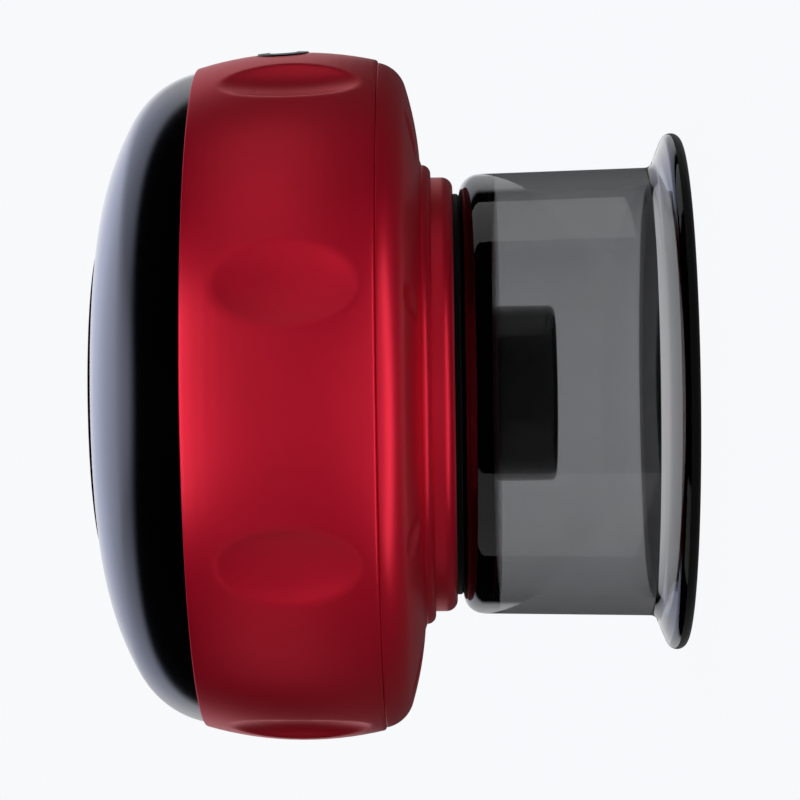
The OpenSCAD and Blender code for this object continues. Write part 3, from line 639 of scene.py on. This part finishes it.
def dome_outline():
    """The dome's wall: the seat of the control disc, over the crown to the edge, and back inside."""
    crown = (CROWN_FLAT_R, CROWN_Z - CROWN_ARC_R)
    corner = (DOME_CORNER_X, DOME_CORNER_Z)
    seat_r = DISC_R + KEY_GAP
    seat_angle = math.degrees(math.acos((seat_r - CROWN_FLAT_R) / CROWN_ARC_R))
    edge_angle = math.degrees(math.asin((DOME_Z - DOME_CORNER_Z) / DOME_CORNER_R))
    inner_r = DOME_CORNER_R - DOME_WALL
    outside, inside = SPIGOT_RADII
    spigot_end, spigot_top = DOME_Z - SPIGOT_DROP, DOME_Z + 0.6
    inner_angle = math.degrees(math.asin((spigot_top - DOME_CORNER_Z) / inner_r))
    plate_angle = math.degrees(math.asin((PLATE_UNDER - crown[1]) / (CROWN_ARC_R - DOME_WALL)))
    over = arc(crown, CROWN_ARC_R, seat_angle, DOME_TANGENT, 1.5)
    under = arc(crown, CROWN_ARC_R - DOME_WALL, DOME_TANGENT, plate_angle, 3.0)
    return soften(
        [(0, PLATE_UNDER), (0, SEAT_TOP), (seat_r, SEAT_TOP), (*over[0], 0.08)] + over[1:-1]
        + arc(corner, DOME_CORNER_R, DOME_TANGENT, edge_angle, 2.5)
        + [(outside, DOME_Z), (outside, spigot_end, 0.2), (inside, spigot_end, 0.2), (inside, spigot_top)]
        + arc(corner, inner_r, inner_angle, DOME_TANGENT, 4.0)[:-1] + under)


def control_holes(gap):
    """Outlines of the key and window openings, wider by a gap."""
    holes = [circle((x, y), radius + gap) for x, y, radius in KEYS.values()]
    size = (WINDOW_SIZE[0] + 2 * gap, WINDOW_SIZE[1] + 2 * gap)
    return holes + [round_box(WINDOW_AT, size, WINDOW_ROUND + gap)]


def key_outline(radius):
    """A key with a dished top, a retaining flange and a stem."""
    top = DISC_TOP - 0.02
    dish = 0.16
    inside = radius - 0.5
    bowl = [(inside * (1 - i / 8), top - dish * (1 - (1 - i / 8) ** 2)) for i in range(9)]
    low, high = KEY_FLANGE
    return soften([(0, KEY_FOOT), (1.4, KEY_FOOT, 0.2), (1.4, low), (radius + 0.9, low), (radius + 0.9, high),
                   (radius, high), (radius, top, 0.3)] + bowl)


def bar(centre, size):
    """A thin rectangle with round ends."""
    return round_box(centre, size, min(size) * 0.49, 4)


def key_signs():
    """Plain generic signs in the keys' dishes: on and off, three levels, and a turning mode ring."""
    low, high = DISC_TOP - 0.24, DISC_TOP - 0.1
    x, y, _ = KEYS["power_key"]
    outlines = [bar((x + 0.9, y), (1.7, 0.3))] + broken_ring((x, y), 1.5, 0.3, 70)
    piece("power_sign", prisms("power_sign", outlines, low, high), "power_key", "display_white")
    x, y, _ = KEYS["level_key"]
    bars = [bar((x - 1.0 + 0.35 * i, y - 1.1 + 1.1 * i), (0.7 + 0.7 * i, 0.34)) for i in range(3)]
    piece("level_sign", prisms("level_sign", bars, low, high), "level_key", "display_white")
    x, y, _ = KEYS["mode_key"]
    outlines = broken_ring((x, y), 1.35, 0.28, 40) + [circle((x, y), 0.3, 24)]
    piece("mode_sign", prisms("mode_sign", outlines, low, high), "mode_key", "display_white")


def broken_ring(centre, radius, width, gap):
    """One open ring as a single outline, open towards +X."""
    outer = arc(centre, radius + width / 2, gap / 2, 360 - gap / 2, 6.0)
    inner = arc(centre, radius - width / 2, 360 - gap / 2, gap / 2, 6.0)
    return [outer + inner]


def digit_outlines(centre, width, height, stroke):
    """The seven segments of one display digit, whose top points to +X."""
    x, y = centre
    half = height / 2
    across = [bar((x + lift, y), (stroke, width - stroke)) for lift in (-half, 0, half)]
    along = [bar((x + lift, y + side), (half - stroke, stroke))
             for lift in (-half / 2, half / 2) for side in (-width / 2, width / 2)]
    return across + along


def controls():
    """The control disc, its keys with their signs, and the display."""
    outline = circle((0, 0), DISC_R, 256)
    piece("control_disc_plate", plate("control_disc_plate", outline, control_holes(KEY_GAP), SEAT_TOP, DISC_TOP,
                                      0.12), "housing", "disc_black", "control_disc")
    for name, (x, y, radius) in KEYS.items():
        mesh = lathe(name + "_cap", key_outline(radius), 128)
        mesh.transform(Matrix.Translation((x * MM, y * MM, 0)))
        piece(name + "_cap", mesh, name, "key_black", name)
    key_signs()
    pane = plate("window_pane", round_box(WINDOW_AT, WINDOW_SIZE, WINDOW_ROUND), [], PLATE_UNDER - 0.5,
                 DISC_TOP - 0.05, 0.12)
    piece("window_pane", pane, "housing", "window_smoke", "display_window")
    digits = [outline for side in (-3.1, 3.1)
              for outline in digit_outlines((WINDOW_AT[0], side), 2.6, 4.6, 0.5)]
    top = span("display_module")[1].z
    piece("display_digits", prisms("display_digits", digits, top - 0.02, top + 0.1), "housing", "lamp_red")


# ---- Assembly ----


def build_visible():
    """Makes the pieces that stand for the CAD nodes seen from outside."""
    piece("cup_wall", lathe("cup_wall", refine(cup_outline(), 2.0), 288), "cup", "smoke_cup", "cup")
    piece("seal_gasket", lathe("seal_gasket", seal_outline()), "housing", "seal_rubber", "seal_ring")
    piece("upper_shell_skin", upper_shell(), "housing", "housing_red", "upper_shell")
    piece("lower_shell_skin", lower_shell(), "housing", "housing_red", "lower_shell")
    cutters = prisms("cutter", control_holes(KEY_GAP), PLATE_UNDER - 2, SEAT_TOP + 2)
    dome = cut(lathe("dome_skin", refine(dome_outline(), 1.5), 320), cutters)
    piece("dome_skin", dome, "housing", "dome_black", "dome_cover")
    controls()


def dress_cad_nodes():
    """Gives every CAD node the material of its slot."""
    for name, node in nodes.items():
        node.data.materials.clear()
        node.data.materials.append(materials[slot_of[name]])


# ---- Stage ----

VIEW_TURN = math.radians(4.8)
VIEW_ROLL = math.radians(0.77)
VIEW_DISTANCE = 0.4
VIEW_HEIGHT = 0.0291
VIEW_LENS = 145.1
VIEW_SHIFT = (-0.05875, -0.00725)
PALE = (0.939, 0.947, 0.965, 1)

# Height in millimetres that the soft boxes face unless they are given another direction
LIT_Z = 45.0

# The backdrop's light: bright behind the object, from a bent edge on, and dark in the room in front.
# It is fullest along the middle, fades straight behind the object, and cools towards the top.
ROOM_FRONT = -0.05
PANEL_BEND = -1.45
PANEL_EDGE = (-0.13, 0.17)
PANEL_LEVEL = (0.006, 1.0)
MIDDLE_EDGE = (0.0, 0.08)
MIDDLE_LEVEL = (1.5, 0.8)
CENTRE_EDGE = (0.85, 1.0)
CENTRE_LEVEL = (1.0, 0.7)
TINT_EDGE = (0.12, 0.45)
TINTS = ((0.97, 0.98, 1.0), (0.72, 0.76, 1.0))


def place_camera():
    """A camera that lies on its side, so that the object's axis runs across the picture."""
    data = bpy.data.cameras.new("camera")
    data.lens = VIEW_LENS
    data.shift_x, data.shift_y = VIEW_SHIFT
    data.clip_start = 0.01
    camera = bpy.data.objects.new("camera", data)
    scene.collection.objects.link(camera)
    back = Vector((math.sin(VIEW_TURN), -math.cos(VIEW_TURN), 0))
    level_right = Vector((0, 0, -1))
    level_up = Vector((math.cos(VIEW_TURN), math.sin(VIEW_TURN), 0))
    right = math.cos(VIEW_ROLL) * level_right - math.sin(VIEW_ROLL) * level_up
    up = math.sin(VIEW_ROLL) * level_right + math.cos(VIEW_ROLL) * level_up
    matrix = Matrix((right, up, back)).transposed().to_4x4()
    matrix.translation = back * VIEW_DISTANCE + Vector((0, 0, VIEW_HEIGHT))
    camera.matrix_world = matrix
    scene.camera = camera


def seen_directly(tree):
    """1 for what the camera sees directly or through clear plastic, and 0 for light and reflections."""
    path = add(tree, "ShaderNodeLightPath")
    inputs = {0: path.outputs["Is Camera Ray"], 1: path.outputs["Is Transmission Ray"]}
    return add(tree, "ShaderNodeMath", inputs, operation="MAXIMUM").outputs[0]


def seen_past_room(tree, forward):
    """Like seen_directly, but 0 towards the room in front for light that has bounced off something."""
    path = add(tree, "ShaderNodeLightPath")
    inputs = {0: path.outputs["Glossy Depth"], 1: path.outputs["Diffuse Depth"]}
    bounces = add(tree, "ShaderNodeMath", inputs, operation="ADD")
    ahead = add(tree, "ShaderNodeMath", {0: forward, 1: ROOM_FRONT}, operation="LESS_THAN")
    hidden = add(tree, "ShaderNodeMath", {0: bounces.outputs[0], 1: ahead.outputs[0]}, operation="MULTIPLY")
    inputs = {0: seen_directly(tree), 1: hidden.outputs[0]}
    return add(tree, "ShaderNodeMath", inputs, operation="SUBTRACT", use_clamp=True).outputs[0]


def spread(tree, value, edge, level, **settings):
    """A value that goes from one level to another between two edges."""
    inputs = {"Value": value, "From Min": edge[0], "From Max": edge[1], "To Min": level[0], "To Max": level[1]}
    return add(tree, "ShaderNodeMapRange", inputs, **settings).outputs[0]


def product(tree, first, second):
    """Two values multiplied."""
    return add(tree, "ShaderNodeMath", {0: first, 1: second}, operation="MULTIPLY").outputs[0]


def place_world():
    """A pale backdrop whose light comes from behind the object, with the room dark towards the camera."""
    world = bpy.data.worlds.new("studio")
    scene.world = world
    world.use_nodes = True
    tree = world.node_tree
    shown = tree.nodes["Background"]
    shown.inputs["Color"].default_value = PALE
    towards = add(tree, "ShaderNodeTexCoord").outputs["Generated"]
    parts = add(tree, "ShaderNodeSeparateXYZ", {0: towards})
    square = product(tree, parts.outputs["X"], parts.outputs["X"])
    inputs = {0: square, 1: PANEL_BEND, 2: parts.outputs["Y"]}
    behind = add(tree, "ShaderNodeMath", inputs, operation="MULTIPLY_ADD").outputs[0]
    panel = spread(tree, behind, PANEL_EDGE, PANEL_LEVEL, interpolation_type="SMOOTHSTEP")
    middle = spread(tree, square, MIDDLE_EDGE, MIDDLE_LEVEL)
    centre = spread(tree, parts.outputs["Y"], CENTRE_EDGE, CENTRE_LEVEL)
    level = product(tree, product(tree, panel, middle), centre)
    tint = add(tree, "ShaderNodeMix", data_type="RGBA")
    tree.links.new(spread(tree, parts.outputs["Z"], TINT_EDGE, (0.0, 1.0)), tint.inputs["Factor"])
    set_colours(tint, *TINTS)
    light = add(tree, "ShaderNodeBackground", {"Color": colour_of(tint), "Strength": level})
    inputs = {0: seen_past_room(tree, parts.outputs["Y"]), 1: light.outputs[0], 2: shown.outputs[0]}
    mixed = add(tree, "ShaderNodeMixShader", inputs)
    tree.links.new(mixed.outputs[0], tree.nodes["World Output"].inputs["Surface"])


FLOOR_R = 3.0
FLOOR_GAP = 0.00005


def place_floor():
    """A plain pale floor like a light table, which lights the object only a little."""
    mesh = bpy.data.meshes.new("floor")
    made = bmesh.new()
    bmesh.ops.create_circle(made, cap_ends=True, radius=FLOOR_R, segments=96)
    made.to_mesh(mesh)
    made.free()
    floor = bpy.data.objects.new("floor", mesh)
    floor.location.z = -FLOOR_GAP
    scene.collection.objects.link(floor)
    material = bpy.data.materials.new("floor")
    material.use_nodes = True
    mesh.materials.append(material)
    tree = material.node_tree
    shader = tree.nodes["Principled BSDF"]
    shader.inputs["Base Color"].default_value = (0.04, 0.04, 0.04, 1)
    shader.inputs["Roughness"].default_value = 0.9
    shader.inputs["Specular IOR Level"].default_value = 0.0
    inputs = {"Factor": seen_directly(tree), "A": 0.1, "B": 0.99}
    strength = add(tree, "ShaderNodeMix", inputs)
    shader.inputs["Emission Color"].default_value = PALE
    tree.links.new(strength.outputs[0], shader.inputs["Emission Strength"])


def softbox(name, place, size, radiance, lit, back=None):
    """A rectangular light on some pieces only, from a place in millimetres. It shines away from its back,
    which is turned from the object unless a direction is given."""
    data = bpy.data.lights.new(name, "AREA")
    data.shape = "RECTANGLE"
    data.size, data.size_y = (side * MM for side in size)
    data.energy = radiance * math.pi * data.size * data.size_y
    light = bpy.data.objects.new(name, data)
    away = Vector(back or (place[0], place[1], place[2] - LIT_Z)).normalized()
    light.matrix_world = away.to_track_quat("Z", "X").to_matrix().to_4x4()
    light.location = Vector(place) * MM
    light.visible_camera = False
    scene.collection.objects.link(light)
    light.light_linking.receiver_collection = lit


def lit_group(name, *pieces):
    """A collection of the pieces that a light shines on."""
    group = bpy.data.collections.new(name)
    for piece_name in pieces:
        group.objects.link(bpy.data.objects[piece_name])
    return group


def place_lights():
    """Soft boxes that bring out the lacquer's curves, and two that glint along the cup and the nozzle."""
    lacquer = lit_group("lacquer", "upper_shell_skin", "lower_shell_skin")
    softbox("lacquer_left", (30, -390, 500), (170, 700), 5.2, lacquer)
    softbox("lacquer_front", (40, -800, 85), (1000, 900), 0.4, lacquer)
    softbox("lacquer_up", (800, -280, 45), (700, 1200), 0.55, lacquer)
    softbox("lacquer_down", (-800, -360, 45), (700, 1200), 0.38, lacquer)
    softbox("lacquer_below", (0, -150, 2), (160, 120), 0.55, lacquer, (0, 0, -1))
    softbox("lacquer_strip", (0, -59, 2), (20, 110), 2.2, lacquer, (0, 0, -1))
    clear = lit_group("clear", "cup_wall", "nozzle")
    softbox("cup_up", (125, 15, 52), (96, 70), 0.6, clear, (1, 0.12, 0))
    softbox("cup_down", (-110, -74, 52), (96, 115), 0.4, clear, (-0.83, -0.56, 0))


build_visible()
dress_cad_nodes()
place_camera()
place_world()
place_floor()
place_lights()
scene.view_settings.view_transform = "Standard"
